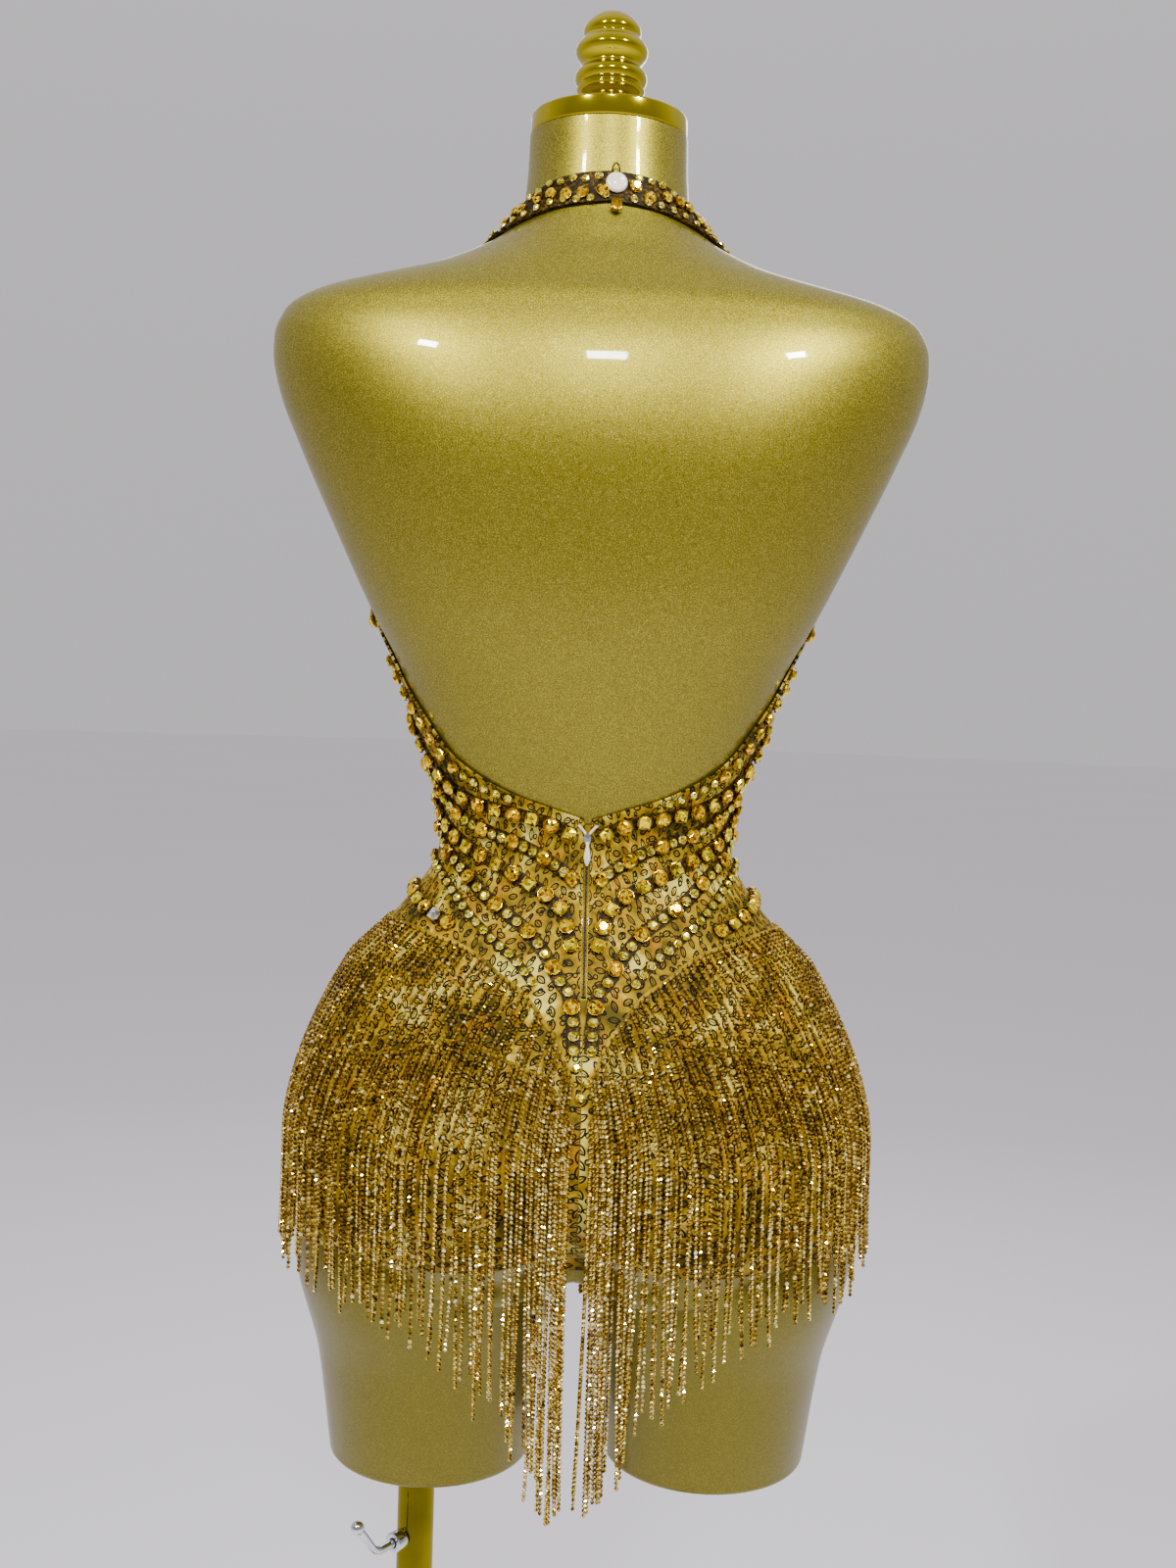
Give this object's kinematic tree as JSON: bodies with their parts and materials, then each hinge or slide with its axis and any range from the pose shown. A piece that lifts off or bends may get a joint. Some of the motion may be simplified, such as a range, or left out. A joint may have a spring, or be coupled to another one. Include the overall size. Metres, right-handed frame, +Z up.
{
  "type": "rhinestone mesh bodysuit on a dress form",
  "caption": "Halter bodysuit of printed mesh with gem bands and two rows of chain fringe, on a limbless torso dress form that slides and turns on a pole stand.",
  "frame": {"origin": "centre of the base plate's underside, on the floor", "axes": "+Z up; -Y is the garment's back, the side with the zip; +X is the wearer's right"},
  "size_m": [0.3746, 0.32, 1.597],
  "materials": {
    "form_paint": "pearl olive gold lacquer",
    "gold": "polished gold plate",
    "chrome": "polished",
    "bush": "matt black",
    "printed_mesh": "printed stretch mesh, mottled gold and olive",
    "gem_band": "dark band set with amber stones",
    "chain": "rhinestone cup chain",
    "cream": "cream enamel"
  },
  "bodies": {
    "stand": {"base_plate": "gold", "pole_flange": "gold", "stand_tube": "gold", "tube_bush": "bush", "clamp_boss": "chrome"},
    "mast": {"mast_tube": "gold"},
    "form": {"back_left": "printed_mesh", "back_right": "printed_mesh", "band_armhole_left": "gem_band", "band_armhole_right": "gem_band", "band_breast_left": "gem_band", "band_breast_right": "gem_band", "band_fourth_left": "gem_band", "band_fourth_right": "gem_band", "band_hip_left": "gem_band", "band_hip_right": "gem_band", "band_neckline_left": "gem_band", "band_neckline_right": "gem_band", "band_second_left": "gem_band", "band_second_right": "gem_band", "band_third_left": "gem_band", "band_third_right": "gem_band", "band_top_left": "gem_band", "band_top_right": "gem_band", "finial": "gold", "form_body": "form_paint", "fringe_lower_back_left": "chain", "fringe_lower_back_right": "chain", "fringe_lower_front_left": "chain", "fringe_lower_front_right": "chain", "fringe_upper_back_left": "chain", "fringe_upper_back_right": "chain", "fringe_upper_front_left": "chain", "fringe_upper_front_right": "chain", "front_left": "printed_mesh", "front_right": "printed_mesh", "gusset": "printed_mesh", "neck_band": "gem_band", "neck_button": "cream", "neck_cap": "gold", "neck_hook": "chrome", "zip_slider": "chrome", "zip_tape": "printed_mesh"},
    "clamp_lever": {"clamp_lever": "chrome"},
    "zip_pull": {"zip_pull_tab": "cream"}
  },
  "joints": [
    {"name": "form_height", "type": "slide", "parent": "stand", "child": "mast", "axis": [0, 0, 1], "range_m": [-0.01, 0.25]},
    {"name": "form_turn", "type": "hinge", "parent": "mast", "child": "form", "pos_m": [-0.09, 0, 0.8], "axis": [0, 0, 1], "continuous": true},
    {"name": "clamp_turn", "type": "hinge", "parent": "stand", "child": "clamp_lever", "pos_m": [-0.09, 0, 0.692], "axis": [-0.6392, -0.769, 0], "continuous": true},
    {"name": "zip_pull", "type": "hinge", "parent": "form", "child": "zip_pull", "pos_m": [0, -0.04802, 1.12], "axis": [-1, 0, 0], "range_deg": [0, 150]}
  ]
}
